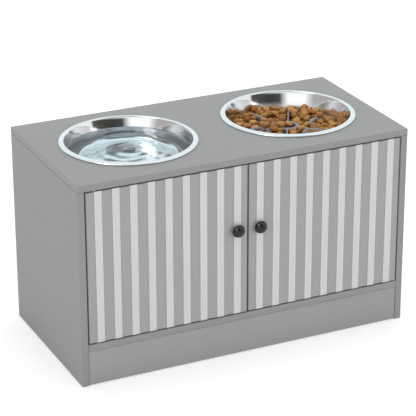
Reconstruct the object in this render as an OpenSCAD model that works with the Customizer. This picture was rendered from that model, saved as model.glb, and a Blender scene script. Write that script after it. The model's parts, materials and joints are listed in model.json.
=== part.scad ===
// Raised feeding station for a large dog: a two-door storage cabinet with two
// steel bowls hanging in its top board. Millimetres, +Z up, doors towards -Y.
// The origin is on the floor, at the centre of the overall footprint.

/* [Cabinet] */
// Width over the side panels
cabinet_w = 600; // [580:1:720]
// Depth from the face of the doors to the back edge
cabinet_d = 300; // [280:1:380]
// Height of the top board's face above the floor
cabinet_h = 354; // [320:1:420]
// Thickness of the coated boards
board_t = 12; // [12:0.5:15]
// Radius along the top board's upper edges
board_edge_r = 1; // [0.5:0.25:3]
// Height of the bottom board's underside above the floor
plinth_h = 62; // [50:1:90]
// How far the plinth stands behind the side panels' edges
plinth_setback = 1; // [0:0.5:10]
// Gap between the plinth and the floor
plinth_lift = 1; // [0:0.5:5]
// Thickness of the hardboard back
back_t = 3; // [2.5:0.5:5]
// Distance from the cabinet's back edge to the back panel
back_inset = 8; // [6:1:20]
// Depth of the grooves that hold the back panel
groove_depth = 5; // [3:0.5:6]

/* [Doors] */
// Gap all round each door
door_gap = 2; // [1.4:0.1:3]
// Thickness of the doors
door_t = 12; // [12:0.5:15]
// Width of the light stripes inlaid in the doors
stripe_w = 13; // [6:0.5:16]
// Distance from one stripe to the next
stripe_pitch = 30.7; // [20:0.1:40]
// Thickness of the stripes' foil
stripe_t = 0.3; // [0.2:0.1:0.8]
// From a door's left edge to its first stripe
stripe_lead = 14.6; // [6:0.2:25]

/* [Knobs] */
// Diameter of a knob's head
knob_d = 22; // [18:0.5:30]
// How far a knob stands out of its door
knob_out = 16; // [14:0.5:20]
// From the knob's axis to the door's free edge
knob_inset = 19.5; // [15:0.5:45]
// Height of the knob's axis above the middle of the door
knob_rise = 20; // [-60:1:60]
// Diameter of the screw that holds the knob
knob_screw_d = 4; // [3:0.5:5]

/* [Bowls] */
// Distance between the two bowls' centres
bowl_spacing = 298; // [250:1:310]
// How far the bowls sit to the right of the board's middle, in the play of their cut-outs
bowls_right = 2; // [-3:0.5:3]
// How far the bowls sit behind the board's middle
bowls_behind = 1.5; // [-3:0.5:3]
// Outside diameter of a bowl's rim
rim_d = 233; // [180:1:240]
// Width of the rim on top of the board
rim_w = 9; // [7:0.5:12]
// Height of the rim above the board
rim_h = 4.2; // [3:0.2:7]
// Depth of a bowl below the board's face
bowl_depth = 56; // [45:1:75]
// Sheet thickness of the steel
sheet_t = 0.8; // [0.6:0.1:1.2]
// Slope of the bowl's wall, from the vertical
wall_angle = 14; // [5:1:20]
// Radius between a bowl's wall and its floor
floor_bend = 14; // [6:1:20]
// Least gap between a bowl's wall and the edge of its cut-out
cutout_gap = 0.5; // [0.3:0.1:2]

/* [Slow feeder insert] */
// Height of the ridges above the bowl's floor
ridge_h = 37; // [15:1:45]
// Thickness of the curved ridges
ridge_t = 7; // [4:0.5:9]
// Thickness of the straight ridges along the middle
spine_t = 3; // [2:0.5:6]
// Diameter of the ring in the middle, at its ridge line
ring_d = 34; // [24:1:44]
// Length of the two curved ridges at the back
back_ridge_len = 42; // [20:1:44]
// How far the ridges at the back bulge from straight
back_ridge_bulge = 5; // [3:0.5:12]
// Length of the two curved ridges at the front
front_ridge_len = 34; // [20:1:38]
// How far the ridges at the front bulge from straight
front_ridge_bulge = 12; // [3:0.5:14]
// Thickness of the insert's base
insert_t = 1.6; // [1:0.2:3]
// Gap between the insert's base and the bend of the bowl's wall
insert_gap = 1; // [0.5:0.5:3]
// Turn of the insert in its bowl, clockwise from above
insert_turn = 29; // [0:1:90]

/* [Hardware] */
// Distance of a door's pivot from its hinged edge
pivot_inset = 16; // [14:0.5:24]
// Diameter of the pivot pins
pin_d = 5; // [4:0.5:6]
// Wall of the plastic pivot bushes
bush_wall = 1.5; // [1:0.25:2]
// Diameter of the cam locks
cam_d = 12; // [12:0.5:14]
// Depth of the cam locks in their boards
cam_depth = 9; // [8:0.5:10]
// Diameter of the cam bolts' shanks
bolt_d = 5; // [4:0.5:5.5]
// Diameter of the wooden dowels
dowel_d = 6; // [5:0.5:7]
// Length of the wooden dowels
dowel_len = 25; // [20:1:30]
// Length of the double magnetic catch
catch_w = 44; // [40:1:60]
// Thickness of the strike plates on the doors
strike_t = 1.2; // [1:0.1:2]

/* [Hidden] */
$fn = 96;
eps = 0.01;

// Fits: loose for parts that are dropped in, running for what turns
loose_fit = 0.1;
running_fit = 0.05;

// Cabinet levels and planes
front_y = -(cabinet_d - knob_out) / 2;
back_y = front_y + cabinet_d;
mid_y = (front_y + back_y) / 2;
inner_w = cabinet_w - 2 * board_t;
underside_z = cabinet_h - board_t;
floor_z = plinth_h + board_t;
plinth_y = front_y + plinth_setback;

// Doors
door_w = (inner_w - 3 * door_gap) / 2;
door_h = underside_z - floor_z - 2 * door_gap;
door_z = floor_z + door_gap;
door_back_y = front_y + door_t;
pivot_y = front_y + door_t / 2;
pivot_x = inner_w / 2 - door_gap - pivot_inset;
// Least plain strip between the last stripe and the door's right edge
stripe_margin = 5;
stripe_count = floor((door_w - stripe_lead - stripe_w - stripe_margin) / stripe_pitch) + 1;
knob_x = door_gap / 2 + knob_inset;
knob_z = door_z + door_h / 2 + knob_rise;

// Knob shape, measured out of the door: foot, neck, flare under the head, edge, crown
knob_edge = 0.42 * knob_out;
knob_foot_h = 1;
knob_neck_z = 2.6;
knob_flare_h = 1.7;
knob_lip = 0.5;
knob_ball_r = (pow(knob_d / 2, 2) + pow(knob_out - knob_edge, 2)) / (2 * (knob_out - knob_edge));
knob_foot_d = 0.6 * knob_d;
knob_neck_d = 0.45 * knob_d;
knob_bore = 0.6 * knob_out;
screw_head_d = 2 * knob_screw_d;
screw_head_h = 0.6 * knob_screw_d;
screw_crown_d = 0.64 * screw_head_d;
screw_cross = [0.55 * screw_head_d, 0.9, 2];
bore_spare = 0.5;

// Pivots: a collar on the pin stands on the bush's flange, and fills the gap
bush_d = pin_d + 2 * running_fit + 2 * bush_wall;
bush_flange_w = 0.5;
bush_flange_d = bush_d + 2 * bush_flange_w;
bush_flange_t = 0.9;
bush_len = 8;
collar_d = bush_flange_d - bush_flange_w;
collar_t = door_gap - bush_flange_t;
pin_len_up = 6.5;
pin_len_in = 20;

// Cam joints: the bolt is screwed into one board and its head sits in the cam of the other
cam_back = 24;
bolt_in = 8;
bolt_head_d = bolt_d + 2;
bolt_head_t = 3;
bolt_collar_t = 1.5;
bolt_bore_d = bolt_head_d + 4 * loose_fit;
edge_to_cam = 50;
cross_depth = 1;
cross_w = 1.4;
// How far a cut runs past the face or the piece that it clears
past = 1;

// Dowels stand a third in one board and two thirds in the other
dowel_in = 8;
dowel_chamfer = 0.8;

// Magnetic catch under the top board, behind the doors' meeting edges
strike_gap = 0.3;
catch_y = door_back_y + strike_t + strike_gap;
catch_d = 15;
catch_h = 13;
// How far the catch's body and its ears stand behind the pole plates' front edges
catch_step = 1;
ear_step = 2;
ear_w = 11;
ear_t = 3;
magnet_w = 14;
magnet_h = 8;
magnet_d = 9;
magnet_step = 1;
pole_t = 1.2;
pocket_d = magnet_step + magnet_d;
pocket_h = magnet_h + 2 * pole_t;
catch_gap = 6;
strike_w = 32;
strike_h = 11;
strike_screw_in = 6;
wood_screw_d = 3;
wood_screw_len = 9;
wood_cross = [wood_screw_d, 0.7, 1.4];

// Bowl: floor, mouth and rim
mouth_r = rim_d / 2 - rim_w;
floor_r = mouth_r - (rim_h + bowl_depth) * tan(wall_angle);
rim_bend = 0.55 * rim_h;
curl_bend = 0.35 * rim_h;
curl_w = 0.5 * rim_w;
play = norm([bowls_right, bowls_behind]);
wall_r = mouth_r - rim_h * tan(wall_angle) + sheet_t / cos(wall_angle);
cutout_r = wall_r + play + cutout_gap;

// Insert: its ridges' places, as angles from the insert's right and radii from its middle
insert_r = floor_r - floor_bend * tan(45 - wall_angle / 2) - insert_gap;
spine_gap = 4;
spine_end = insert_r - spine_gap;
back_ridge_at = 33;
back_ridge_r = 58;
back_ridge_tilt = 27;
front_ridge_at = -31;
front_ridge_r = 52;
front_ridge_tilt = 46;

// Back panel
back_panel_y = back_y - back_inset - back_t;
panel_play = 0.5;

board_colour = [0.60, 0.60, 0.60];
door_colour = [0.63, 0.63, 0.63];
stripe_colour = [0.82, 0.82, 0.82];
steel_colour = [0.80, 0.82, 0.83];
zinc_colour = [0.72, 0.73, 0.74];
black_colour = [0.09, 0.09, 0.10];
insert_colour = [0.55, 0.55, 0.56];
nylon_colour = [0.90, 0.90, 0.88];
beech_colour = [0.80, 0.65, 0.45];

// ---------------------------------------------------------------- outlines

function unit(v) = v / norm(v);
// Normal on the right-hand side of a run from a to b
function right_of(a, b) = let (u = unit(b - a)) [u[1], -u[0]];
function cross2(a, b) = a[0] * b[1] - a[1] * b[0];

// A path moved to its right by o, with mitred corners
function shifted(path, o) = [
  for (i = [0 : len(path) - 1])
    let (
      n0 = right_of(path[max(i - 1, 0)], path[max(i, 1)]),
      n1 = right_of(path[min(i, len(path) - 2)], path[min(i + 1, len(path) - 1)])
    )
    path[i] + o * (n0 + n1) / (1 + n0 * n1)
];

// Points of the round that replaces corner b between a and c
function corner_arc(a, b, c, r, steps) =
  let (
    u = unit(a - b),
    v = unit(c - b),
    half = acos(u * v) / 2,
    centre = b + unit(u + v) * r / sin(half),
    from = b + u * r / tan(half) - centre,
    turn = cross2(b - a, c - b) > 0 ? 1 : -1,
    sweep = turn * (180 - 2 * half)
  )
  [for (k = [0 : steps]) let (t = sweep * k / steps)
    centre + [from[0] * cos(t) - from[1] * sin(t), from[0] * sin(t) + from[1] * cos(t)]];

// A path with its inner corners rounded, moved to its right by o
function rounded(path, radii, o, steps) =
  let (p = shifted(path, o), last = len(path) - 1)
  concat(
    [p[0]],
    [for (i = [1 : last - 1])
      let (left = cross2(path[i] - path[i - 1], path[i + 1] - path[i]) > 0)
      each corner_arc(p[i - 1], p[i], p[i + 1], radii[i] + (left ? o : -o), steps)],
    [p[last]]
  );

function reversed(list) = [for (i = [len(list) - 1 : -1 : 0]) list[i]];

// ------------------------------------------------------------ joint places

// A cam joint: [place on the joint plane, way into the cam's board, way to the cam's open face]
cam_joints = concat(
  [for (s = [-1, 1]) for (y = [front_y + edge_to_cam, back_y - edge_to_cam])
    [[s * (cabinet_w - board_t) / 2, y, underside_z], [0, 0, -1], [-s, 0, 0]]],
  [for (s = [-1, 1]) for (y = [front_y + edge_to_cam, back_y - edge_to_cam])
    [[s * inner_w / 2, y, plinth_h + board_t / 2], [-s, 0, 0], [0, 0, -1]]],
  [for (s = [-1, 1])
    [[s * inner_w / 2, plinth_y + board_t / 2, plinth_h / 2], [-s, 0, 0], [0, 1, 0]]]
);

// A dowel: [place on the joint plane, way into the deeper hole]
dowel_joints = concat(
  [for (s = [-1, 1]) [[s * (cabinet_w - board_t) / 2, mid_y, underside_z], [0, 0, -1]]],
  [for (s = [-1, 1]) [[s * inner_w / 2, mid_y, plinth_h + board_t / 2], [-s, 0, 0]]],
  [for (i = [-1 : 1]) [[i * inner_w / 3, plinth_y + board_t / 2, plinth_h], [0, 0, -1]]]
);

// Puts children in a frame: local Z runs along way, local X towards face
module placed(origin, way, face) {
  side = cross(way, face);
  multmatrix([
    [face[0], side[0], way[0], origin[0]],
    [face[1], side[1], way[1], origin[1]],
    [face[2], side[2], way[2], origin[2]],
    [0, 0, 0, 1]
  ]) children();
}

module at_cam_joints() {
  for (j = cam_joints) placed(j[0], j[1], j[2]) children();
}

module at_dowels() {
  for (j = dowel_joints) placed(j[0], j[1], j[1][2] == 0 ? [0, 0, 1] : [1, 0, 0]) children();
}

// Each door's pivots: top one turned to point up, bottom one to point down
module at_pivots(side) {
  translate([side * pivot_x, pivot_y, door_z + door_h]) children();
  translate([side * pivot_x, pivot_y, door_z]) mirror([0, 0, 1]) children();
}

// ---------------------------------------------------------------- hardware

module cam_bolt() {
  translate([0, 0, -bolt_in]) cylinder(d = bolt_d, h = bolt_in + cam_back - bolt_head_t / 2 + eps);
  cylinder(d = bolt_head_d, h = bolt_collar_t);
  translate([0, 0, cam_back - bolt_head_t / 2]) cylinder(d = bolt_head_d, h = bolt_head_t);
}

module cam_lock() {
  difference() {
    translate([board_t / 2 - cam_depth, 0, cam_back]) rotate([0, 90, 0])
      cylinder(d = cam_d, h = cam_depth);
    // Slot for the bolt's shank, and a pocket that holds its head
    translate([0, 0, cam_back - cam_d]) cylinder(d = bolt_d + 2 * loose_fit, h = cam_d);
    translate([0, 0, cam_back - bolt_head_t / 2 - loose_fit])
      cylinder(d = bolt_head_d + 2 * loose_fit, h = bolt_head_t + 2 * loose_fit);
    // Cross for the screwdriver
    for (a = [0, 90])
      translate([board_t / 2, 0, cam_back]) rotate([a, 0, 0])
        cube([2 * cross_depth, cam_d / 2, cross_w], center = true);
  }
}

// Material taken out of the boards at one cam joint
module cam_cuts() {
  translate([0, 0, -bolt_in]) cylinder(d = bolt_d + 2 * loose_fit, h = bolt_in + eps);
  translate([0, 0, -eps]) cylinder(d = bolt_bore_d, h = cam_back + cam_d / 2);
  translate([board_t / 2 - cam_depth, 0, cam_back]) rotate([0, 90, 0])
    cylinder(d = cam_d + 2 * loose_fit, h = cam_depth + past);
}

module dowel() {
  r = dowel_d / 2;
  far = dowel_len - dowel_in;
  rotate_extrude() polygon([
    [0, -dowel_in], [r - dowel_chamfer, -dowel_in], [r, dowel_chamfer - dowel_in],
    [r, far - dowel_chamfer], [r - dowel_chamfer, far], [0, far]
  ]);
}

module dowel_cuts() {
  translate([0, 0, -dowel_in]) cylinder(d = dowel_d + 2 * loose_fit, h = dowel_len + past);
}

// A pivot seen from its door's end: the door is below z = 0
module pivot_pin() {
  translate([0, 0, -pin_len_in])
    cylinder(d = pin_d, h = pin_len_in + collar_t + bush_flange_t + pin_len_up);
  cylinder(d = collar_d, h = collar_t);
}

module pivot_bush() {
  translate([0, 0, collar_t]) difference() {
    union() {
      cylinder(d = bush_flange_d, h = bush_flange_t);
      cylinder(d = bush_d, h = bush_flange_t + bush_len);
    }
    translate([0, 0, -eps])
      cylinder(d = pin_d + 2 * running_fit, h = bush_flange_t + bush_len + 2 * eps);
  }
}

module bush_cut() {
  translate([0, 0, door_gap - eps]) cylinder(d = bush_d + 2 * loose_fit, h = bush_len + eps);
}

module pin_cut() {
  translate([0, 0, -pin_len_in]) cylinder(d = pin_d + 2 * loose_fit, h = pin_len_in + past);
}

// Small countersunk wood screw, its head's face at z = 0, pointing up
module wood_screw() {
  difference() {
    rotate_extrude() polygon([
      [0, 0], [wood_screw_d, 0], [wood_screw_d / 2, wood_screw_d / 2],
      [wood_screw_d / 2, wood_screw_len - wood_screw_d], [0, wood_screw_len]
    ]);
    for (a = [0, 90]) rotate([0, 0, a]) cube(wood_cross, center = true);
  }
}

module wood_screw_cut() {
  r = wood_screw_d / 2 + loose_fit;
  translate([0, 0, -eps]) cylinder(r1 = wood_screw_d + loose_fit, r2 = r, h = wood_screw_d / 2 + eps);
  cylinder(r = r, h = wood_screw_len);
}

// ----------------------------------------------------------------- cabinet

// A board laid flat with its upper edges rounded
module eased_board(w, d, t, r) {
  intersection() {
    translate([0, d / 2, 0]) rotate([90, 0, 0]) linear_extrude(d) eased_section(w, t, r);
    translate([-w / 2, 0, 0]) rotate([90, 0, 90]) linear_extrude(w) eased_section(d, t, r);
  }
}

module eased_section(w, t, r) {
  translate([-w / 2, 0]) square([w, t - r]);
  translate([-w / 2 + r, 0]) square([w - 2 * r, t]);
  for (s = [-1, 1]) translate([s * (w / 2 - r), t - r]) circle(r);
}

module back_groove() {
  translate([-inner_w / 2 - groove_depth, back_panel_y - loose_fit, floor_z - groove_depth])
    cube([inner_w + 2 * groove_depth, back_t + 2 * loose_fit, underside_z - floor_z + 2 * groove_depth]);
}

module board_cuts() {
  at_cam_joints() cam_cuts();
  at_dowels() dowel_cuts();
  for (s = [-1, 1]) at_pivots(s) bush_cut();
  at_catch_screws() wood_screw_cut();
  back_groove();
}

module top_board() {
  color(board_colour) difference() {
    translate([0, mid_y, underside_z]) eased_board(cabinet_w, cabinet_d, board_t, board_edge_r);
    for (s = [-1, 1]) translate([s * bowl_spacing / 2, mid_y, underside_z - past])
      cylinder(r = cutout_r, h = board_t + 2 * past);
    board_cuts();
  }
}

module side_panel(side) {
  color(board_colour) difference() {
    translate([side * (cabinet_w - board_t) / 2 - board_t / 2, front_y, 0])
      cube([board_t, cabinet_d, underside_z]);
    board_cuts();
  }
}

module bottom_board() {
  color(board_colour) difference() {
    translate([-inner_w / 2, front_y, plinth_h]) cube([inner_w, cabinet_d, board_t]);
    board_cuts();
  }
}

module plinth() {
  color(board_colour) difference() {
    translate([-inner_w / 2, plinth_y, plinth_lift]) cube([inner_w, board_t, plinth_h - plinth_lift]);
    board_cuts();
  }
}

module back_panel() {
  reach = groove_depth - panel_play;
  color(board_colour) translate([-inner_w / 2 - reach, back_panel_y, floor_z - groove_depth])
    cube([inner_w + 2 * reach, back_t, underside_z - floor_z + groove_depth + reach]);
}

module cam_bolts() {
  color(zinc_colour) at_cam_joints() cam_bolt();
}

module cam_locks() {
  color(zinc_colour) at_cam_joints() cam_lock();
}

module dowels() {
  color(beech_colour) at_dowels() dowel();
}

module pivot_bushes() {
  color(nylon_colour) for (s = [-1, 1]) at_pivots(s) pivot_bush();
}

// ---------------------------------------------------------- magnetic catch

module at_catch_screws() {
  for (s = [-1, 1]) translate([s * (catch_w + ear_w) / 2, catch_y + catch_d / 2, underside_z - ear_t])
    children();
}

// The space of one magnet with its two pole plates
module at_magnets() {
  for (s = [-1, 1]) translate([s * (catch_gap + magnet_w) / 2, catch_y, underside_z - catch_h / 2])
    children();
}

module catch_housing() {
  color(nylon_colour) difference() {
    union() {
      translate([-catch_w / 2, catch_y + catch_step, underside_z - catch_h])
        cube([catch_w, catch_d - catch_step, catch_h]);
      translate([-catch_w / 2 - ear_w, catch_y + ear_step, underside_z - ear_t])
        cube([catch_w + 2 * ear_w, catch_d - 2 * ear_step, ear_t]);
    }
    at_magnets() translate([-magnet_w / 2, 0, -pocket_h / 2]) cube([magnet_w, pocket_d, pocket_h]);
    at_catch_screws() wood_screw_cut();
  }
}

module catch_magnets() {
  color(black_colour) at_magnets() translate([-magnet_w / 2, magnet_step, -magnet_h / 2])
    cube([magnet_w, magnet_d, magnet_h]);
}

module catch_pole_plates() {
  color(zinc_colour) at_magnets() for (s = [-1, 1])
    translate([-magnet_w / 2, 0, s * (magnet_h + pole_t) / 2 - pole_t / 2])
      cube([magnet_w, pocket_d, pole_t]);
}

module catch_screws() {
  color(zinc_colour) at_catch_screws() wood_screw();
}

// ------------------------------------------------------------------- doors

function door_left_x(side) = side < 0 ? -door_gap / 2 - door_w : door_gap / 2;

module at_knob(side) {
  translate([side * knob_x, front_y, knob_z]) rotate([90, 0, 0]) children();
}

// On the inner face of the door, behind its upper free corner
module at_strike(side) {
  translate([side * (catch_gap / 2 + strike_w / 2), door_back_y, underside_z - catch_h / 2]) children();
}

module at_strike_screw(side) {
  at_strike(side) translate([side * (strike_w / 2 - strike_screw_in), strike_t, 0])
    rotate([90, 0, 0]) children();
}

// Full-height strips with their front at the door's face
module stripes(side, t, over) {
  for (i = [0 : stripe_count - 1])
    translate([door_left_x(side) + stripe_lead + i * stripe_pitch, front_y, door_z - over])
      cube([stripe_w, t, door_h + 2 * over]);
}

module knob_screw_bore() {
  translate([0, 0, -door_t - past]) cylinder(d = knob_screw_d + 2 * loose_fit, h = door_t + 2 * past);
}

module door_panel(side) {
  color(door_colour) difference() {
    translate([door_left_x(side), front_y, door_z]) cube([door_w, door_t, door_h]);
    translate([0, -eps, 0]) stripes(side, stripe_t + eps, past);
    at_knob(side) knob_screw_bore();
    at_pivots(side) pin_cut();
    at_strike_screw(side) wood_screw_cut();
  }
}

module door_stripes(side) {
  color(stripe_colour) difference() {
    stripes(side, stripe_t, 0);
    at_knob(side) knob_screw_bore();
  }
}

// Knob with its foot at z = 0 and its head's crown at z = knob_out
module knob() {
  color(black_colour) difference() {
    rotate_extrude() {
      polygon([
        [0, 0], [knob_foot_d / 2, 0], [knob_foot_d / 2, knob_foot_h], [knob_neck_d / 2, knob_neck_z],
        [knob_neck_d / 2, knob_edge - knob_lip - knob_flare_h],
        [knob_d / 2 - 2 * knob_lip, knob_edge - knob_lip], [knob_d / 2 - knob_lip / 2, knob_edge],
        [0, knob_edge]
      ]);
      intersection() {
        translate([0, knob_out - knob_ball_r]) circle(knob_ball_r);
        translate([0, knob_edge - eps]) square([knob_d, knob_out]);
      }
    }
    translate([0, 0, -eps]) cylinder(d = knob_screw_d + 2 * loose_fit, h = knob_bore + bore_spare);
  }
}

// Pan-head machine screw from inside the door, in the knob's frame
module knob_screw() {
  color(zinc_colour) difference() {
    translate([0, 0, -door_t]) rotate_extrude() {
      translate([0, -screw_head_h / 2]) square([screw_head_d / 2, screw_head_h / 2]);
      polygon([
        [0, -screw_head_h], [screw_crown_d / 2, -screw_head_h],
        [screw_head_d / 2, -screw_head_h / 2], [0, -screw_head_h / 2]
      ]);
      square([knob_screw_d / 2, door_t + knob_bore]);
    }
    for (a = [0, 90]) translate([0, 0, -door_t - screw_head_h]) rotate([0, 0, a])
      cube(screw_cross, center = true);
  }
}

module pivot_pins(side) {
  color(zinc_colour) at_pivots(side) pivot_pin();
}

module strike_plate(side) {
  color(zinc_colour) difference() {
    at_strike(side) translate([-strike_w / 2, 0, -strike_h / 2]) cube([strike_w, strike_t, strike_h]);
    at_strike_screw(side) wood_screw_cut();
  }
}

module strike_screw(side) {
  color(zinc_colour) at_strike_screw(side) wood_screw();
}

// ------------------------------------------------------------------- bowls

// The visible side of the sheet, from the middle of the floor to the curl under the rim,
// as [radius, height above the board]; the sheet lies to its right
bowl_path = [
  [0, -bowl_depth], [floor_r, -bowl_depth], [mouth_r, rim_h],
  [rim_d / 2, rim_h], [rim_d / 2, 0], [rim_d / 2 - curl_w, 0]
];
bowl_bends = [0, floor_bend, rim_bend, rim_bend, curl_bend, 0];

module bowl() {
  color(steel_colour) rotate_extrude() polygon(concat(
    rounded(bowl_path, bowl_bends, 0, 8),
    reversed(rounded(bowl_path, bowl_bends, sheet_t, 8))
  ));
}

module at_bowl(side) {
  translate([side * bowl_spacing / 2 + bowls_right, mid_y + bowls_behind, cabinet_h]) children();
}

// A ridge of a given length on an arc, its middle at the origin and its chord along X
module arc_ridge(length, bulge) {
  r = (length * length / 4 + bulge * bulge) / (2 * bulge);
  sweep = 2 * asin(length / 2 / r);
  translate([0, bulge - r, 0]) rotate([0, 0, 90 - sweep / 2]) {
    rotate_extrude(angle = sweep) translate([r, 0]) ridge_section(ridge_t, ridge_h);
    for (turn = [0, sweep]) rotate([0, 0, turn]) translate([r, 0, 0]) ridge_end();
  }
}

// Upright with a rounded top
module ridge_section(t, h) {
  translate([-t / 2, 0]) square([t, h - t / 2]);
  translate([0, h - t / 2]) circle(d = t);
}

// Round end, a hair inside the ridge's own faces
module ridge_end() {
  rotate_extrude() intersection() {
    ridge_section(ridge_t - 2 * eps, ridge_h - eps);
    square([ridge_t, ridge_h]);
  }
}

// Straight ridge from the ring out to the rim of the insert, along Y
module spine() {
  translate([0, spine_end, 0]) rotate([90, 0, 0]) linear_extrude(spine_end - ring_d / 2)
    ridge_section(spine_t, ridge_h - eps);
}

module feeder_insert() {
  $fn = 48;
  color(insert_colour) at_bowl(1) translate([0, 0, -bowl_depth]) rotate([0, 0, -insert_turn]) {
    cylinder(r = insert_r, h = insert_t, $fn = 96);
    rotate_extrude() translate([ring_d / 2, 0]) ridge_section(ridge_t, ridge_h);
    spine();
    mirror([0, 1, 0]) spine();
    for (s = [0, 1]) mirror([s, 0, 0]) {
      rotate([0, 0, back_ridge_at]) translate([back_ridge_r, 0, 0]) rotate([0, 0, back_ridge_tilt])
        arc_ridge(back_ridge_len, back_ridge_bulge);
      rotate([0, 0, front_ridge_at]) translate([front_ridge_r, 0, 0]) rotate([0, 0, front_ridge_tilt])
        arc_ridge(front_ridge_len, front_ridge_bulge);
    }
  }
}

// ---------------------------------------------------------------- assembly

top_board();
side_panel(-1);  // side_panel_left
side_panel(1);  // side_panel_right
bottom_board();
plinth();
back_panel();
cam_bolts();
cam_locks();
dowels();
pivot_bushes();
catch_housing();
catch_magnets();
catch_pole_plates();
catch_screws();
door_panel(-1);  // left_door_panel
door_stripes(-1);  // left_door_stripes
at_knob(-1) knob();  // left_knob
at_knob(-1) knob_screw();  // left_knob_screw
pivot_pins(-1);  // left_pivot_pins
strike_plate(-1);  // left_strike_plate
strike_screw(-1);  // left_strike_screw
door_panel(1);  // right_door_panel
door_stripes(1);  // right_door_stripes
at_knob(1) knob();  // right_knob
at_knob(1) knob_screw();  // right_knob_screw
pivot_pins(1);  // right_pivot_pins
strike_plate(1);  // right_strike_plate
strike_screw(1);  // right_strike_screw
at_bowl(-1) bowl();  // water_bowl
at_bowl(1) bowl();  // food_bowl
feeder_insert();
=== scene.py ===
import json
import math
import random

import bmesh
import bpy
import numpy as np
from mathutils import Matrix, Vector, noise
from mathutils.bvhtree import BVHTree

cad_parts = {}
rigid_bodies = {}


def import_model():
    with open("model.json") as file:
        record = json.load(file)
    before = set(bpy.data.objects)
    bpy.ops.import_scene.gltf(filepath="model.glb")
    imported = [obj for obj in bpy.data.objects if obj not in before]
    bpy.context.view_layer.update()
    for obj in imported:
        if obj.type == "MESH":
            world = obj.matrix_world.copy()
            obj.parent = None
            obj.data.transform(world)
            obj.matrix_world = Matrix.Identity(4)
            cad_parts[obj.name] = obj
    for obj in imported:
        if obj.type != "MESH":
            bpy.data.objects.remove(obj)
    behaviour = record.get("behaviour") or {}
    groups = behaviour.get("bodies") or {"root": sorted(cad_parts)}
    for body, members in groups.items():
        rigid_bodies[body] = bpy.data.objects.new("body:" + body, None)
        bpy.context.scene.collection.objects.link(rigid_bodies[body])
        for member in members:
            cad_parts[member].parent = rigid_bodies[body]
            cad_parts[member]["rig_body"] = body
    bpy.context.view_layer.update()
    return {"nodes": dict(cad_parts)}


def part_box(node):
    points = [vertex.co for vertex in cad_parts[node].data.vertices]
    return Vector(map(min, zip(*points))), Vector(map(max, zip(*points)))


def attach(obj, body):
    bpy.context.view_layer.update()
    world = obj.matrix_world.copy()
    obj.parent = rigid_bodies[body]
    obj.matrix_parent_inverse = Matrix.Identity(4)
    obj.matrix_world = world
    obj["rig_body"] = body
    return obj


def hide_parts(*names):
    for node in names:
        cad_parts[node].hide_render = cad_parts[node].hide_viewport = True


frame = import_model()
print("loaded the frame:", len(frame["nodes"]), "nodes")

mm = 0.001
nodes = frame["nodes"]


# the camera comes first, at the photograph's angle

view = {
    "azimuth": -25.36,       # degrees, 0 looks along +Y
    "elevation": 22.774,
    "roll": -0.143,
    "distance": 3.32283,     # from the aim point
    "aim": (0, 0.008, 0.18),
    "slideRight": -0.00178,  # of the camera, in its own frame
    "slideUp": 0.02462,
    "lens": 166.84,
    "sensor": 36,
    "farthest": 50,
}


def placeCamera(s):
    azimuth, elevation, roll = (math.radians(s[k]) for k in ("azimuth", "elevation", "roll"))
    back = Vector((math.sin(azimuth) * math.cos(elevation),
                   -math.cos(azimuth) * math.cos(elevation), math.sin(elevation)))
    flatRight = Vector((math.cos(azimuth), math.sin(azimuth), 0))
    flatUp = back.cross(flatRight)
    right = flatRight * math.cos(roll) + flatUp * math.sin(roll)
    up = flatUp * math.cos(roll) - flatRight * math.sin(roll)
    spot = Vector(s["aim"]) + right * s["slideRight"] + up * s["slideUp"] + back * s["distance"]
    camera = bpy.data.objects.new("camera", bpy.data.cameras.new("camera"))
    bpy.context.scene.collection.objects.link(camera)
    camera.data.sensor_width = s["sensor"]
    camera.data.lens = s["lens"]
    camera.data.clip_end = s["farthest"]
    turn = Matrix((right, up, back)).transposed().to_4x4()
    camera.matrix_world = Matrix.Translation(spot) @ turn
    bpy.context.scene.camera = camera


placeCamera(view)
print("camera placed")


# small helpers for materials and meshes

def newMaterial(name):
    material = bpy.data.materials.new(name)
    material.use_nodes = True
    tree = material.node_tree
    shader = tree.nodes["Principled BSDF"]
    return material, tree, shader


def addNode(tree, kind, settings=None, **inputs):
    node = tree.nodes.new(kind)
    for key, value in (settings or {}).items():
        setattr(node, key, value)
    for key, value in inputs.items():
        socket = node.inputs[key.replace("_", " ")]
        if isinstance(value, bpy.types.NodeSocket):
            tree.links.new(value, socket)
        else:
            socket.default_value = value
    return node


def objectPoint(tree, stretch=(1, 1, 1)):
    place = addNode(tree, "ShaderNodeTexCoord")
    scaled = addNode(tree, "ShaderNodeMapping", Vector=place.outputs["Object"], Scale=stretch)
    return scaled.outputs["Vector"]


def noiseOf(tree, point, scale, detail=3.0, roughness=0.55):
    texture = addNode(tree, "ShaderNodeTexNoise", Vector=point, Scale=scale,
                      Detail=detail, Roughness=roughness)
    return texture.outputs["Fac"]


def ramp(tree, value, stops):
    node = addNode(tree, "ShaderNodeValToRGB", Fac=value)
    band = node.color_ramp
    band.elements.remove(band.elements[1])
    for place, (at, colour) in enumerate(stops):
        element = band.elements.new(at) if place else band.elements[0]
        element.position = at
        element.color = (*colour, 1)
    return node.outputs["Color"]


def mottled(tree, value, dark, light):
    return ramp(tree, value, [(0.3, dark), (0.7, light)])


def spread(tree, value, low, high, fromLow=0.0, fromHigh=1.0):
    node = addNode(tree, "ShaderNodeMapRange", Value=value, From_Min=fromLow, From_Max=fromHigh,
                   To_Min=low, To_Max=high)
    return node.outputs["Result"]


def bump(tree, shader, height, strength, distance):
    node = addNode(tree, "ShaderNodeBump", Height=height, Strength=strength, Distance=distance)
    tree.links.new(node.outputs["Normal"], shader.inputs["Normal"])


def grey(level):
    return (level, level, level)


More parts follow.
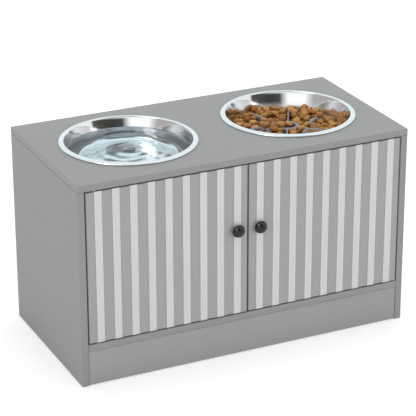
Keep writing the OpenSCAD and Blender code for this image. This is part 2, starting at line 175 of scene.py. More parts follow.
def multiplied(tree, first, second):
    node = addNode(tree, "ShaderNodeMix", {"data_type": "RGBA", "blend_type": "MULTIPLY"})
    node.inputs["Factor"].default_value = 1.0
    tree.links.new(first, node.inputs[6])
    tree.links.new(second, node.inputs[7])
    return node.outputs[2]


def calculated(tree, operation, first, second):
    node = addNode(tree, "ShaderNodeMath", {"operation": operation})
    for place, value in enumerate((first, second)):
        if isinstance(value, bpy.types.NodeSocket):
            tree.links.new(value, node.inputs[place])
        else:
            node.inputs[place].default_value = value
    return node.outputs[0]


def mixedShaders(tree, share, first, second):
    node = addNode(tree, "ShaderNodeMixShader")
    for place, source in enumerate((share, first, second)):
        tree.links.new(source, node.inputs[place])
    return node.outputs[0]


def linked(mesh, name):
    piece = bpy.data.objects.new(name, mesh)
    bpy.context.scene.collection.objects.link(piece)
    return piece


def meshPiece(name, points, faces, smooth=True):
    mesh = bpy.data.meshes.new(name)
    mesh.from_pydata([tuple(p) for p in points], [], faces)
    mesh.validate()
    if smooth:
        mesh.shade_smooth()
    return linked(mesh, name)


def cleanMesh(mesh):
    # doubled points become one, and every face looks outwards
    work = bmesh.new()
    work.from_mesh(mesh)
    bmesh.ops.remove_doubles(work, verts=work.verts, dist=0.001 * mm)
    bmesh.ops.recalc_face_normals(work, faces=work.faces)
    work.to_mesh(mesh)
    work.free()
    mesh.shade_smooth()


def ringPoints(centre, r, z, segments):
    turns = [2 * math.pi * k / segments for k in range(segments)]
    return [(centre[0] + r * math.cos(a), centre[1] + r * math.sin(a), z) for a in turns]


# finishes: one short function each

coating = {
    "carcass": 0.345,    # linear greys
    "door": 0.374,
    "foil": 0.640,
    "grain": 1400.0,     # the print's fine grain, per metre
    "mottle": 9.0,       # slow changes of tone
    "easedEdge": 0.96,   # the eased edges are a touch darker than the faces
    "frontBand": 0.885,  # the banded front edges are a slightly deeper grey
    "gapShade": 0.80,    # painted shade: the edges that face a gap are darkened for the shade inside the gap
    "jointShade": 0.64,   # painted shade: eased edges that meet another board are darkened for the shade where the boards meet
}


def coatedBoard(name, level):
    # melamine-faced board: slow mottle, fine grain and faint scuffs under a satin coat
    material, tree, shader = newMaterial(name)
    point = objectPoint(tree)
    slow = noiseOf(tree, point, coating["mottle"], 2.0)
    fine = noiseOf(tree, point, coating["grain"], 2.0)
    tone = mottled(tree, slow, grey(level * 0.99), grey(level * 1.01))
    speck = mottled(tree, fine, grey(0.97), grey(1.03))
    tree.links.new(multiplied(tree, tone, speck), shader.inputs["Base Color"])
    scuff = noiseOf(tree, objectPoint(tree, (40, 40, 160)), 1.0, 4.0, 0.7)
    tree.links.new(spread(tree, scuff, 0.44, 0.6), shader.inputs["Roughness"])
    shader.inputs["Specular IOR Level"].default_value = 0.15
    bump(tree, shader, fine, 0.12, 0.00012)
    return material


def stripeFoil():
    # pale printed foil, a little smoother than the board
    material, tree, shader = newMaterial("stripeFoil")
    point = objectPoint(tree)
    fine = noiseOf(tree, point, 1800.0, 2.0)
    slow = noiseOf(tree, point, 14.0, 2.0)
    tone = mottled(tree, slow, grey(coating["foil"] * 0.985), grey(coating["foil"] * 1.015))
    tree.links.new(tone, shader.inputs["Base Color"])
    tree.links.new(spread(tree, fine, 0.4, 0.5), shader.inputs["Roughness"])
    shader.inputs["Specular IOR Level"].default_value = 0.35
    bump(tree, shader, fine, 0.08, 0.0001)
    return material


def hardboard():
    # thin back panel: coated, with the pressed grain showing through
    material, tree, shader = newMaterial("backBoard")
    point = objectPoint(tree)
    weave = noiseOf(tree, point, 500.0, 4.0, 0.7)
    slow = noiseOf(tree, point, 5.0, 2.0)
    tone = mottled(tree, slow, grey(0.33), grey(0.36))
    tree.links.new(tone, shader.inputs["Base Color"])
    tree.links.new(spread(tree, weave, 0.5, 0.7), shader.inputs["Roughness"])
    shader.inputs["Specular IOR Level"].default_value = 0.3
    bump(tree, shader, weave, 0.3, 0.0002)
    return material


def polishedSteel(name, centre, satin):
    # spun stainless steel: rings round the bowl's axis and faint water marks;
    # bright above the height of centre, and rougher by satin from 15 mm below it
    material, tree, shader = newMaterial(name)
    place = addNode(tree, "ShaderNodeTexCoord")
    moved = addNode(tree, "ShaderNodeMapping", Vector=place.outputs["Object"],
                    Location=(-centre[0], -centre[1], 0))
    rings = addNode(tree, "ShaderNodeTexWave", {"wave_type": "RINGS", "rings_direction": "Z"},
                    Vector=moved.outputs["Vector"], Scale=160.0, Distortion=0.4, Detail=2.0)
    marks = noiseOf(tree, moved.outputs["Vector"], 30.0, 3.0)
    shader.inputs["Base Color"].default_value = (0.80, 0.81, 0.82, 1)
    shader.inputs["Metallic"].default_value = 1.0
    height = addNode(tree, "ShaderNodeSeparateXYZ", Vector=place.outputs["Object"]).outputs["Z"]
    deep = spread(tree, height, satin, 0.0, centre[2] - 0.015, centre[2])
    rough = calculated(tree, "ADD", spread(tree, marks, 0.05, 0.10), deep)
    tree.links.new(rough, shader.inputs["Roughness"])
    bump(tree, shader, rings.outputs["Fac"], 0.03, 0.00003)
    return material


def zincPlate():
    material, tree, shader = newMaterial("zincPlate")
    point = objectPoint(tree)
    bloom = noiseOf(tree, point, 300.0, 4.0, 0.65)
    tone = mottled(tree, bloom, (0.50, 0.52, 0.54), (0.68, 0.69, 0.70))
    tree.links.new(tone, shader.inputs["Base Color"])
    shader.inputs["Metallic"].default_value = 1.0
    tree.links.new(spread(tree, bloom, 0.28, 0.42), shader.inputs["Roughness"])
    bump(tree, shader, bloom, 0.1, 0.00008)
    return material


def knobGloss():
    # glossy black, with a faint orange peel and finger marks
    material, tree, shader = newMaterial("knobBlack")
    point = objectPoint(tree)
    peel = noiseOf(tree, point, 500.0, 2.0)
    prints = noiseOf(tree, point, 120.0, 3.0)
    tone = mottled(tree, prints, grey(0.006), grey(0.010))
    tree.links.new(tone, shader.inputs["Base Color"])
    tree.links.new(spread(tree, prints, 0.06, 0.12), shader.inputs["Roughness"])
    shader.inputs["Specular IOR Level"].default_value = 0.56
    bump(tree, shader, peel, 0.03, 0.00008)
    return material


def mouldedPlastic(name, colour, roughness=0.45):
    material, tree, shader = newMaterial(name)
    point = objectPoint(tree)
    spark = noiseOf(tree, point, 900.0, 3.0)
    flow = noiseOf(tree, point, 45.0, 2.0)
    dark = tuple(c * 0.93 for c in colour)
    tree.links.new(mottled(tree, flow, dark, colour), shader.inputs["Base Color"])
    tree.links.new(spread(tree, spark, roughness - 0.06, roughness + 0.08), shader.inputs["Roughness"])
    bump(tree, shader, spark, 0.12, 0.0001)
    return material


def beechWood():
    material, tree, shader = newMaterial("beech")
    point = objectPoint(tree, (1, 1, 6))
    rings = noiseOf(tree, point, 90.0, 4.0)
    tone = mottled(tree, rings, (0.50, 0.33, 0.17), (0.66, 0.47, 0.28))
    tree.links.new(tone, shader.inputs["Base Color"])
    shader.inputs["Roughness"].default_value = 0.6
    bump(tree, shader, rings, 0.3, 0.0002)
    return material


def sinteredMagnet():
    material, tree, shader = newMaterial("ferrite")
    point = objectPoint(tree)
    pits = noiseOf(tree, point, 1200.0, 4.0, 0.7)
    tone = mottled(tree, pits, grey(0.035), grey(0.07))
    tree.links.new(tone, shader.inputs["Base Color"])
    shader.inputs["Roughness"].default_value = 0.6
    bump(tree, shader, pits, 0.3, 0.0001)
    return material


finish = {
    "carcass": coatedBoard("coatCarcass", coating["carcass"]),
    "door": coatedBoard("coatDoor", coating["door"]),
    "easedEdge": coatedBoard("coatEasedEdge", coating["carcass"] * coating["easedEdge"]),
    "frontBand": coatedBoard("coatFrontBand", coating["carcass"] * coating["frontBand"]),
    # painted shade where eased edges meet another board
    "jointShade": coatedBoard("coatJointShade", coating["carcass"] * coating["jointShade"]),
    # painted shade on the edges that face a gap
    "gapShade": coatedBoard("coatGapShade", coating["carcass"] * coating["gapShade"]),
    "foil": stripeFoil(),
    "back": hardboard(),
    "zinc": zincPlate(),
    "knob": knobGloss(),
    "nylon": mouldedPlastic("nylon", (0.42, 0.42, 0.43)),
    "insert": mouldedPlastic("insertGrey", (0.25, 0.255, 0.265), 0.4),
    "beech": beechWood(),
    "ferrite": sinteredMagnet(),
}
print("finishes made:", len(finish))


# boards and doors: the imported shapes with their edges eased

easing = {
    "board": 0.55 * mm,
    "door": 0.8 * mm,
    "thin": 0.25 * mm,
    "sharp": 40,          # degrees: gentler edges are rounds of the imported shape
    "long": 12 * mm,      # shorter edges belong to holes and stay crisp
    "near": 2.6 * mm,     # an edge closer than this to another board lies in a joint, and is painted darker as its shade
    "weld": 0.002 * mm,
    "flat": 0.4,          # degrees: faces that meet at less are one face
    "crease": 25,         # degrees: edges sharper than this stay crisp in the shading
    "front": -0.9,        # a face whose normal has less Y than this looks to the front
}
edgeFinishesAndShades = ["easedEdge", "jointShade", "gapShade", "frontBand"]  # a face's index, from 1
boards = ["top_board", "side_panel_left", "side_panel_right", "bottom_board", "plinth",
          "left_door_panel", "right_door_panel"]


def distanceToBox(point, box):
    low, high = box
    return math.sqrt(sum(max(low[i] - point[i], 0, point[i] - high[i]) ** 2 for i in range(3)))


def easedBoard(node, name, width, faceFinish, banded=False):
    # a copy of the node's mesh, cleaned, with every long sharp edge eased;
    # faces near another board are painted darker as shade, and a banded front edge has its own grey
    mesh = nodes[node].data.copy()
    mesh.name = name
    others = [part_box(other) for other in boards if other != node]
    work = bmesh.new()
    work.from_mesh(mesh)
    bmesh.ops.remove_doubles(work, verts=work.verts, dist=easing["weld"])
    bmesh.ops.dissolve_limit(work, angle_limit=math.radians(easing["flat"]), verts=work.verts,
                             edges=work.edges)
    sharp = [e for e in work.edges if e.is_manifold and e.calc_length() > easing["long"]
             and e.calc_face_angle(0) > math.radians(easing["sharp"])]
    bmesh.ops.bevel(work, geom=sharp, offset=width, segments=2, profile=0.5, affect="EDGES",
                    clamp_overlap=False, material=1)
    for face in work.faces:
        centre = face.calc_center_median()
        # painted shade: faces near another board take the joint's or the gap's darker grey
        if min(distanceToBox(centre, box) for box in others) < easing["near"]:
            face.material_index = 2 if face.material_index == 1 else 3
        elif banded and face.normal.y < easing["front"]:
            face.material_index = 4
    mesh.materials.clear()
    for material in (faceFinish, *(finish[k] for k in edgeFinishesAndShades)):
        mesh.materials.append(material)
    work.to_mesh(mesh)  # after the finishes, because clearing them would reset each face's own
    work.free()
    if mesh.attributes.get("custom_normal"):
        mesh.attributes.remove(mesh.attributes["custom_normal"])
    mesh.shade_smooth()
    mesh.set_sharp_from_angle(angle=math.radians(easing["crease"]))
    piece = linked(mesh, name)
    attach(piece, nodes[node]["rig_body"])
    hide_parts(node)


bandedBoards = {"top_board": "topBoard", "side_panel_left": "leftSide",
                "side_panel_right": "rightSide", "bottom_board": "bottomBoard"}
for node, name in bandedBoards.items():
    easedBoard(node, name, easing["board"], finish["carcass"], banded=True)
easedBoard("plinth", "plinthBoard", easing["board"], finish["carcass"])
easedBoard("back_panel", "backPanel", easing["thin"], finish["back"])
for side in ("left", "right"):
    easedBoard(f"{side}_door_panel", f"{side}Door", easing["door"], finish["door"])
print("boards and doors eased")


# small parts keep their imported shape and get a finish

def dress(node, material):
    piece = nodes[node]
    piece.data.materials.clear()
    piece.data.materials.append(material)
    for polygon in piece.data.polygons:
        polygon.material_index = 0


plain = {
    "cam_bolts": "zinc", "cam_locks": "zinc", "dowels": "beech", "pivot_bushes": "nylon",
    "catch_housing": "nylon", "catch_magnets": "ferrite", "catch_pole_plates": "zinc",
    "catch_screws": "zinc", "feeder_insert": "insert",
}
for node, material in plain.items():
    dress(node, finish[material])
for side in ("left", "right"):
    dress(f"{side}_door_stripes", finish["foil"])
    dress(f"{side}_knob", finish["knob"])
    for part in ("knob_screw", "pivot_pins", "strike_plate", "strike_screw"):
        dress(f"{side}_{part}", finish["zinc"])
print("hardware dressed")


# bowls: spun sheet with a rolled rim

bowl = {
    "sheet": 0.8 * mm,
    "rimWidth": 9.0 * mm,
    "wallAngle": 14,        # degrees from the vertical
    "floorBend": 14 * mm,
    "polished": 16 * mm,    # depth of wall that is buffed bright; the rest is satin
    "satin": {"waterBowl": 0.08, "foodBowl": 0.16},  # added roughness there
    "lip": 1.8 * mm,        # round from the wall into the rim
    "fold": 1.4 * mm,       # round at the foot of the rolled rim
    "turnUp": 0.8 * mm,     # how far the sheet's end goes back up inside the roll
    "segments": 240,
    "points": {"floor": 24, "bend": 14, "wall": 12, "lip": 9, "roll": 22, "fold": 14},
    "insidePoints": 60,     # from the axis to just past the rim's crest
}


def arcPoints(centre, radius, start, end, count):
    # points on an arc in the (radius, height) plane, angles in degrees
    turns = np.radians(np.linspace(start, end, count))
    return [(centre[0] + radius * math.cos(t), centre[1] + radius * math.sin(t)) for t in turns]


def bowlLine(rim, low, high):
    # the sheet's upper line from the axis to the curl under the rim, as (radius, height)
    lean = math.radians(bowl["wallAngle"])
    count = bowl["points"]
    seat = high - rimHeight
    floor = low + bowl["sheet"]
    mouth = rim - bowl["rimWidth"]
    foot = mouth - (high - floor) * math.tan(lean)
    bend = bowl["floorBend"]
    reach = bend * math.tan(math.radians(45) - lean / 2)
    line = [(r, floor) for r in np.linspace(0, foot - reach, count["floor"])]
    line += arcPoints((foot - reach, floor + bend), bend, -90, -math.degrees(lean), count["bend"])[1:]
    # over the lip, then down the roll to the board and back up inside it
    lip, fold = bowl["lip"], bowl["fold"]
    lipReach = lip * math.tan(math.radians(45) - lean / 2)
    wallTop = (mouth - (lip - lipReach) * math.tan(lean), high - lip * (1 - math.sin(lean)))
    start = np.array(line[-1])
    line += [tuple(start + (np.array(wallTop) - start) * t)
             for t in np.linspace(0, 1, count["wall"])[1:]]
    crest = wallTop[0] + lip * math.cos(lean)
    line += arcPoints((crest, high - lip), lip, 180 - math.degrees(lean), 90, count["lip"])[1:]
    drop = high - seat - fold
    for turn in np.radians(np.linspace(90, 0, count["roll"]))[1:]:
        line.append((crest + (rim - crest) * math.cos(turn), seat + fold + drop * math.sin(turn)))
    line += arcPoints((rim - fold, seat + fold), fold, 0, -180, count["fold"])[1:]
    line.append((rim - 2 * fold, seat + fold + bowl["turnUp"]))
    return line


def revolve(line, centre, segments):
    points, faces = [], []
    for r, z in line:
        points += ringPoints(centre, r, z, segments)
    for i in range(len(line) - 1):
        for k in range(segments):
            n = (k + 1) % segments
            faces.append((i * segments + k, i * segments + n,
                          (i + 1) * segments + n, (i + 1) * segments + k))
    return points, faces


def steelBowl(node, name):
    low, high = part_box(node)
    centre = ((low.x + high.x) / 2, (low.y + high.y) / 2)
    rim = (high.x - low.x) / 2
    line = bowlLine(rim, low.z, high.z)
    # thicken: a second skin below, on the outer side of the line
    lower = []
    for i, (r, z) in enumerate(line):
        before, after = np.array(line[max(i - 1, 0)]), np.array(line[min(i + 1, len(line) - 1)])
        run = (after - before) / max(np.linalg.norm(after - before), 1e-9)
        lower.append((max(r + run[1] * bowl["sheet"], 0), z - run[0] * bowl["sheet"]))
    closed = line + lower[::-1]
    points, faces = revolve(closed, centre, bowl["segments"])
    piece = meshPiece(name, points, faces)
    cleanMesh(piece.data)
    buffed = (*centre, high.z - bowl["polished"])
    piece.data.materials.append(polishedSteel(name + "Steel", buffed, bowl["satin"][name]))
    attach(piece, nodes[node]["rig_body"])
    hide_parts(node)
    return line, centre


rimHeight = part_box("water_bowl")[1].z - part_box("top_board")[1].z
waterLine, waterCentre = steelBowl("water_bowl", "waterBowl")
foodLine, foodCentre = steelBowl("food_bowl", "foodBowl")
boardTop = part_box("top_board")[1].z
print("bowls made")


# water, with slow rings on it

water = {
    "level": -14 * mm,     # below the board's face
    "ring": 0.34 * mm,     # height of the rings that run out from the middle
    "cross": 0.25 * mm,    # and of those from a second place
    "swell": 0.60 * mm,    # slow rise and fall of the surface
    "tint": [(0.80, 0.895, 0.97), (0.88, 0.945, 0.99)],
    "ringLength": 22 * mm,
    "bend": (18, 0.012),             # noise that bends the rings: how fine, and how far
    "secondPlace": (0.022, -0.03),   # of the rings that cross
    "secondLength": 1.4,             # times the first rings' length
    "broad": 15,                     # how fine the swell is
    "calm": (0.3, 0.03),             # least share of the ripples left at the wall, and its width
    "meniscus": (0.0009, 0.0025),    # height and width
    "rings": 90,
    "segments": 200,
    "into": 0.35 * mm,     # how far its skin lies inside the sheet, so no air shows between them
    "seed": 11,
}


def radiusAt(line, height):
    # inner radius of a bowl at a height, from its line
    count = bowl["points"]["bend"] + bowl["points"]["wall"] - 2
    wall = [p for p in line if p[1] > line[0][1] + 1e-6][:count]
    return float(np.interp(height, [p[1] for p in wall], [p[0] for p in wall]))


def rippleHeight(x, y, reach):
    # rings that run out from two places, bent by slow noise and calmer at the wall
    r = math.hypot(x, y)
    fine, far = water["bend"]
    bend = noise.noise(Vector((x * fine, y * fine, water["seed"]))) * far
    around = (r + bend) / water["ringLength"]
    away = math.hypot(x - water["secondPlace"][0], y - water["secondPlace"][1])
    across = (away + bend) / (water["secondLength"] * water["ringLength"])
    broad = noise.noise(Vector((x * water["broad"], y * water["broad"], 5.0)))
    least, width = water["calm"]
    calm = min(1.0, max(least, (reach - r) / width))
    return calm * (water["ring"] * math.sin(2 * math.pi * around)
                   + water["cross"] * math.sin(2 * math.pi * across + 1.2)
                   + water["swell"] * broad)


def waterBody():
    level = boardTop + water["level"]
    reach = radiusAt(waterLine, level) + water["into"]
    points, faces = [], []
    rings, segments = water["rings"], water["segments"]
    rise, width = water["meniscus"]
    for i in range(rings + 1):
        r = reach * (i / rings) ** 0.85
        for k in range(segments):
            a = 2 * math.pi * k / segments
            x, y = r * math.cos(a), r * math.sin(a)
            edge = max(0.0, 1 - (reach - r) / width)
            z = level + rippleHeight(x, y, reach) + rise * edge * edge
            points.append((waterCentre[0] + x, waterCentre[1] + y, z))
    # down the wall and across the floor, within the thickness of the steel
    below = [p for p in waterLine if p[1] < level - 0.001 and p[0] > 0.004]
    under = [p for p in below if p[1] > waterLine[0][1] + 1e-6][::-1]
    under = [u for u in under if u[0] < reach]
    floor = [p for p in below if p[1] <= waterLine[0][1] + 1e-6][::-1]
    skin = [(r + water["into"], z - water["into"] * 0.3) for r, z in under]
    skin += [(r, z - water["into"]) for r, z in floor]
    for r, z in skin:
        points += ringPoints(waterCentre, r, z, segments)
    count = rings + 1 + len(skin)
    for i in range(count - 1):
        for k in range(segments):
            n = (k + 1) % segments
            faces.append((i * segments + k, (i + 1) * segments + k,
                          (i + 1) * segments + n, i * segments + n))
    faces.append([(count - 1) * segments + k for k in range(segments)])
    piece = meshPiece("water", points, faces)
    cleanMesh(piece.data)
    material, tree, shader = newMaterial("clearWater")
    tint = noiseOf(tree, objectPoint(tree), 20.0, 2.0)
    tone = mottled(tree, tint, *water["tint"])
    tree.links.new(tone, shader.inputs["Base Color"])
    shader.inputs["Roughness"].default_value = 0.02
    shader.inputs["IOR"].default_value = 1.33
    shader.inputs["Transmission Weight"].default_value = 1.0
    # light passes through to the floor of the bowl
    path = addNode(tree, "ShaderNodeLightPath")
    clear = addNode(tree, "ShaderNodeBsdfTransparent", Color=(0.92, 0.97, 1, 1))
    mixed = mixedShaders(tree, path.outputs["Is Shadow Ray"], shader.outputs[0], clear.outputs[0])
    tree.links.new(mixed, tree.nodes["Material Output"].inputs["Surface"])
    piece.data.materials.append(material)
    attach(piece, "left_bowl")


waterBody()
print("water poured")


# kibble: a seeded pile that settles piece by piece on a height field

kibble = {
    "seed": 5,
    "radius": (5.3 * mm, 7.6 * mm),
    "thick": (7.0 * mm, 9.0 * mm),
    "surface": -17.5 * mm,   # level of the topmost centres, below the board's face
    "backRise": 0.02,        # the pile climbs towards the back wall
    "rightRise": 0.02,       # and a little to the right
    "sideDrop": 11.0 * mm,   # and falls away by this much at its two ends
    "tilt": 26,              # how far pieces lean, degrees
    "overRidge": 0.10,       # share that may come to rest on a ridge while the pile fills
    "riders": 12,            # pieces put on the ridges last
    "riderTop": -14.5 * mm,  # and how high their centres may lie
    "settle": 95,            # per cent of a piece's underside that stays clear of what is below
    "seen": 14 * mm,         # pieces nearer the surface than this get more points
    "misses": 170,           # the pile is full after so many that stand too high
    "cell": 1.0 * mm,        # of the height field
    "field": 0.24,           # width of the height field
    "ridgeTop": 10 * mm,     # what of the insert lies within this of its top is a ridge
    "tries": 14,             # places tried for each piece; the lowest is taken
    "most": 900,
    "endReach": 0.095,       # where the sideDrop is reached, from the bowl's middle
    "mostTilt": 80,
    "footprint": 0.95,       # share of a piece's radius that rests on what is below
    "onRidge": 0.25,         # share of its footprint that a rider has on a ridge
    "stretch": (0.88, 1.2),
    "roundness": (0.6, 0.8),               # less is boxier: across and in height
    "lumps": ((0.13, 1.2), (0.05, 3.5)),   # height and fineness of each noise
    "dimple": (0.22, 0.5),                 # depth and width
    "detail": {"seen": (26, 10), "hidden": (12, 6)},  # points round a piece, and rings
}


def kibbleShape(rng, radius, thick, segments, rings):
    # a rounded, slightly lumpy disc with a soft dimple, as rings of points between two poles
    stretch = rng.uniform(*kibble["stretch"])
    offset = Vector((rng.uniform(0, 50), rng.uniform(0, 50), rng.uniform(0, 50)))
    across, upright = kibble["roundness"]
    (big, slow), (small, quick) = kibble["lumps"]
    depth, width = kibble["dimple"]
    places = [Vector((0, 0, -1))]
    for i in range(1, rings):
        tilt = math.pi * (i / rings - 0.5)
        flat = math.cos(tilt) ** across
        rise = math.copysign(abs(math.sin(tilt)) ** upright, tilt)
        for k in range(segments):
            turn = 2 * math.pi * k / segments
            places.append(Vector((flat * math.cos(turn), flat * math.sin(turn), rise)))
    places.append(Vector((0, 0, 1)))
    points = []
    for p in places:
        lump = 1 + big * noise.noise(p * slow + offset) + small * noise.noise(p * quick + offset)
        dimple = 1 - depth * math.exp(-(math.hypot(p.x, p.y) / width) ** 2)
        points.append(Vector((p.x * radius * stretch, p.y * radius / stretch,
                              p.z * thick / 2 * dimple)) * lump)
    faces = []
    last = len(places) - 1
    for k in range(segments):
        n = (k + 1) % segments
        faces.append((0, 1 + n, 1 + k))
        for i in range(rings - 2):
            a, b = 1 + i * segments, 1 + (i + 1) * segments
            faces.append((a + k, a + n, b + n, b + k))
        faces.append((last, last - segments + k, last - segments + n))
    return points, faces


def restingField(size, cell, origin):
    # what the pile rests on: the bowl's inside and the insert, as a grid of heights
    xs = origin[0] + (np.arange(size) + 0.5) * cell
    ys = origin[1] + (np.arange(size) + 0.5) * cell
    gx, gy = np.meshgrid(xs, ys, indexing="ij")
    r = np.hypot(gx - foodCentre[0], gy - foodCentre[1])
    field = np.interp(r, [p[0] for p in foodWall], [p[1] for p in foodWall], right=1.0)
    ridge = np.zeros(field.shape, bool)
    low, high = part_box("feeder_insert")
    mesh = nodes["feeder_insert"].data
    solid = BVHTree.FromPolygons([v.co for v in mesh.vertices], [p.vertices for p in mesh.polygons])
    for i in range(size):
        for j in range(size):
            if low.x < xs[i] < high.x and low.y < ys[j] < high.y:
                hit = solid.ray_cast(Vector((xs[i], ys[j], high.z + 0.01)), Vector((0, 0, -1)))[0]
                if hit is not None:
                    field[i, j] = max(field[i, j], hit.z)
                    ridge[i, j] = hit.z > high.z - kibble["ridgeTop"]
    return field, ridge, xs, ys


def pileLevel(x, y):
    # how high a piece's centre may lie there
    east, north = x - foodCentre[0], y - foodCentre[1]
    drop = kibble["sideDrop"] * (east / kibble["endReach"]) ** 2
    return (boardTop + kibble["surface"] + kibble["backRise"] * north
            + kibble["rightRise"] * east - drop)


def kibblePile():
    rng = random.Random(kibble["seed"])
    cell = kibble["cell"]
    size = int(kibble["field"] / cell)
    origin = (foodCentre[0] - kibble["field"] / 2, foodCentre[1] - kibble["field"] / 2)
    field, ridge, xs, ys = restingField(size, cell, origin)
    allPoints, allFaces, tints = [], [], []
    placed = misses = riders = 0
    while placed < kibble["most"] and riders < kibble["riders"]:
        riding = misses >= kibble["misses"]
        radius = rng.uniform(*kibble["radius"])
        thick = rng.uniform(*kibble["thick"])
        steep = math.radians(min(kibble["mostTilt"], abs(rng.gauss(0, kibble["tilt"]))))
        about = rng.uniform(0, 2 * math.pi)
        lean = Matrix.Rotation(steep, 3, Vector((math.cos(about), math.sin(about), 0)))
        lean = lean @ Matrix.Rotation(rng.uniform(0, 2 * math.pi), 3, "Z")
        axis = lean @ Vector((0, 0, 1))
        mayRest = riding or rng.random() < kibble["overRidge"]
        best = None
        for _ in range(kibble["tries"]):
            a = rng.uniform(0, 2 * math.pi)
            d = foodReach * math.sqrt(rng.random())
            x, y = foodCentre[0] + d * math.cos(a), foodCentre[1] + d * math.sin(a)
            i0, j0 = int((x - origin[0]) / cell), int((y - origin[1]) / cell)
            span = int(radius / cell) + 1
            part = (slice(max(i0 - span, 0), i0 + span + 1),
                    slice(max(j0 - span, 0), j0 + span + 1))
            gx, gy = np.meshgrid(xs[part[0]] - x, ys[part[1]] - y, indexing="ij")
            inside = gx * gx + gy * gy < (radius * kibble["footprint"]) ** 2
            onRidge = ridge[part][inside].mean()
            if onRidge > 0 and not mayRest or riding and onRidge < kibble["onRidge"]:
                continue
            # height of the tilted disc's middle plane over each cell, and half its thickness there
            plane = -(gx * axis.x + gy * axis.y) / max(axis.z, 0.3)
            bulge = np.sqrt(np.clip(1 - (gx * gx + gy * gy) / radius ** 2, 0, 1))
            half = thick / 2 * bulge / max(axis.z, 0.5)
            z = float(np.percentile((field[part] - plane + half)[inside], kibble["settle"]))
            if best is None or z < best[0]:
                best = (z, x, y, part, plane + half, inside)
        if best is None:
            continue
        z, x, y, part, above, inside = best
        level = boardTop + kibble["riderTop"] if riding else pileLevel(x, y)
        riders += riding
        if z > level:
            misses += 1
            continue
        detail = kibble["detail"]["seen" if z > level - kibble["seen"] else "hidden"]
        points, faces = kibbleShape(rng, radius, thick, *detail)
        start = len(allPoints)
        allPoints += [lean @ p + Vector((x, y, z)) for p in points]
        allFaces += [[start + k for k in f] for f in faces]
        tints += [rng.random()] * len(points)
        field[part] = np.where(inside, np.maximum(field[part], z + above), field[part])
        placed += 1
    print("kibbles placed:", placed)
    piece = meshPiece("kibble", allPoints, allFaces)
    tint = piece.data.attributes.new("tint", "FLOAT", "POINT")
    tint.data.foreach_set("value", tints)
    return piece


def kibbleCrust():
    # baked crust: each piece its own brown, with pores and darker patches
    material, tree, shader = newMaterial("kibbleCrust")
    point = objectPoint(tree)
    own = addNode(tree, "ShaderNodeAttribute", {"attribute_name": "tint"}).outputs["Fac"]
    pores = noiseOf(tree, point, 800.0, 4.0, 0.7)
    patches = noiseOf(tree, point, 150.0, 3.0)
    base = ramp(tree, own, [(0.0, (0.28, 0.118, 0.030)), (0.15, (0.40, 0.182, 0.050)),
                            (0.7, (0.54, 0.275, 0.085)), (1.0, (0.67, 0.385, 0.150))])
    shade = mottled(tree, patches, (0.68, 0.63, 0.55), (1.10, 1.08, 1.04))
    tree.links.new(multiplied(tree, base, shade), shader.inputs["Base Color"])
    tree.links.new(spread(tree, pores, 0.45, 0.70), shader.inputs["Roughness"])
    shader.inputs["Specular IOR Level"].default_value = 0.3
    bump(tree, shader, pores, 0.5, 0.0004)
    return material


foodWall = [p for p in foodLine if p[1] <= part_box("food_bowl")[1].z][:bowl["insidePoints"]]
foodReach = radiusAt(foodLine, boardTop + kibble["surface"]) - 4 * mm
pile = kibblePile()
pile.data.materials.append(kibbleCrust())
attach(pile, "right_bowl")


# studio: even light, a pale floor, and a room for the metal to reflect

studio = {
    "world": 0.77,                      # even light on everything
    "overhead": (0.95, 1.05, 1.07),     # what polished metal and water see above
    "floor": 0.86,
    "floorLift": 0.36,                  # for the camera alone, so the lit floor reads as white
    "floorHalf": 6.0,
    "floorDrop": 0.2 * mm,              # below the feet, so that the two faces don't coincide
}
lamps = {  # each lamp's place, target and size in metres, and its power in watts
    "leftBox": ((-2.0, -0.7, 0.55), (-0.3, 0, 0.12), (0.5, 1.0), 4.5),
    "rightBox": ((2.0, -1.8, 1.2), (0, 0, 0.2), (1.4, 1.8), 5),
    "frontBox": ((0.3, -2.4, 0.45), (0, 0, 0.1), (2.2, 0.6), 8),
    "topBox": ((0.2, 0.6, 2.6), (0, 0, 0.3), (2.0, 1.4), 12.5),
}

# bands of the room by height, each as tones at compass headings in degrees from +X: a dark flat
# stands low in front of the doors, white screens to its sides, and dimmer walls further round
warm = (0.50, 0.475, 0.46)
room = [
    (None, [(-180, warm), (-167, warm), (-157, grey(0.85)), (-150, grey(1.25)), (-118, grey(1.25)),
            (-103, grey(0.07)), (-85, grey(0.045)), (-64, (0.075, 0.065, 0.058)),
            (-47, (0.11, 0.095, 0.085)), (-44.5, grey(1.0)), (-25, grey(1.1)), (10, grey(0.9)),
            (25, studio["overhead"]), (130, studio["overhead"]), (140, warm)]),
    ((0.17, 0.23), [(-180, grey(0.60)), (-150, grey(0.66)), (-135, grey(0.85)), (-110, grey(1.05)),
                    (-90, grey(1.15)), (-50, grey(1.0)), (10, grey(0.9)), (25, studio["overhead"]),
                    (130, studio["overhead"]), (145, grey(0.55))]),
    ((0.36, 0.44), [(-180, grey(0.18)), (-165, grey(0.40)), (-150, grey(1.0)), (-125, grey(1.0)),
                    (-105, grey(0.50)), (-60, grey(0.30)), (-45, grey(0.45)), (0, grey(0.70)),
                    (20, studio["overhead"]), (118, studio["overhead"]), (130, grey(0.06)),
                    (168, grey(0.06))]),
    ((0.46, 0.52), [(-176, studio["overhead"]), (-172, grey(4.4)), (-150, grey(4.4)),
                    (-146, studio["overhead"]), (-130, studio["overhead"]), (-124, grey(0.02)),
                    (-66, grey(0.02)), (-58, studio["overhead"])]),
    ((0.86, 0.92), [(0, studio["overhead"])]),
]


def areaLamp(name, place, target, size, power):
    lamp = bpy.data.lights.new(name, "AREA")
    lamp.shape = "RECTANGLE"
    lamp.size, lamp.size_y = size
    lamp.energy = power
    piece = bpy.data.objects.new(name, lamp)
    bpy.context.scene.collection.objects.link(piece)
    piece.location = place
    aim = Vector(target) - Vector(place)
    piece.rotation_euler = aim.to_track_quat("-Z", "Y").to_euler()
    piece.visible_glossy = piece.visible_transmission = False  # metal and water see the room alone


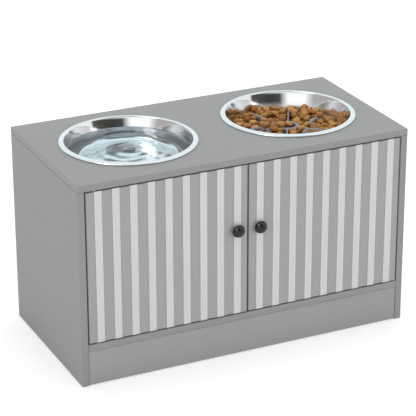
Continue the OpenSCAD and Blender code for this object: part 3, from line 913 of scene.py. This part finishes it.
def makeWorld():
    world = bpy.data.worlds.new("studio")
    bpy.context.scene.world = world
    world.use_nodes = True
    tree = world.node_tree
    plain = tree.nodes["Background"]
    plain.inputs["Color"].default_value = (1, 1, 1, 1)
    plain.inputs["Strength"].default_value = studio["world"]
    path = addNode(tree, "ShaderNodeLightPath")
    white = addNode(tree, "ShaderNodeBackground", Color=(1, 1, 1, 1), Strength=1.0)
    place = addNode(tree, "ShaderNodeTexCoord")
    split = addNode(tree, "ShaderNodeSeparateXYZ", Vector=place.outputs["Generated"])
    heading = calculated(tree, "ARCTAN2", split.outputs["Y"], split.outputs["X"])
    around = spread(tree, heading, 0.0, 1.0, -math.pi, math.pi)
    seen = None
    for rise, tones in room:
        band = ramp(tree, around, [((angle + 180) / 360, tone) for angle, tone in tones])
        if seen is None:
            seen = band
            continue
        step = addNode(tree, "ShaderNodeMix", {"data_type": "RGBA"})
        tree.links.new(spread(tree, split.outputs["Z"], 0.0, 1.0, *rise), step.inputs[0])
        tree.links.new(seen, step.inputs[6])
        tree.links.new(band, step.inputs[7])
        seen = step.outputs[2]
    walls = addNode(tree, "ShaderNodeBackground", Color=seen, Strength=1.0)
    # even light for everything, the room for shiny rays, and white behind for the camera
    shiny = calculated(tree, "MAXIMUM", path.outputs["Is Glossy Ray"],
                       path.outputs["Is Transmission Ray"])
    lit = mixedShaders(tree, shiny, plain.outputs[0], walls.outputs[0])
    shown = mixedShaders(tree, path.outputs["Is Camera Ray"], lit, white.outputs[0])
    tree.links.new(shown, tree.nodes["World Output"].inputs["Surface"])


def makeFloor():
    half = studio["floorHalf"]
    corners = [(-half, -half, 0), (half, -half, 0), (half, half, 0), (-half, half, 0)]
    piece = meshPiece("floor", corners, [(0, 1, 2, 3)], smooth=False)
    material, tree, shader = newMaterial("paleFloor")
    shader.inputs["Base Color"].default_value = (*grey(studio["floor"]), 1)
    shader.inputs["Roughness"].default_value = 0.9
    shader.inputs["Specular IOR Level"].default_value = 0.0
    path = addNode(tree, "ShaderNodeLightPath")
    lift = calculated(tree, "MULTIPLY", path.outputs["Is Camera Ray"], studio["floorLift"])
    shader.inputs["Emission Color"].default_value = (1, 1, 1, 1)
    tree.links.new(lift, shader.inputs["Emission Strength"])
    piece.data.materials.append(material)
    piece.location.z = -studio["floorDrop"]


makeWorld()
makeFloor()
for name, setting in lamps.items():
    areaLamp(name, *setting)
bpy.context.scene.view_settings.view_transform = "Standard"
print("studio lit")
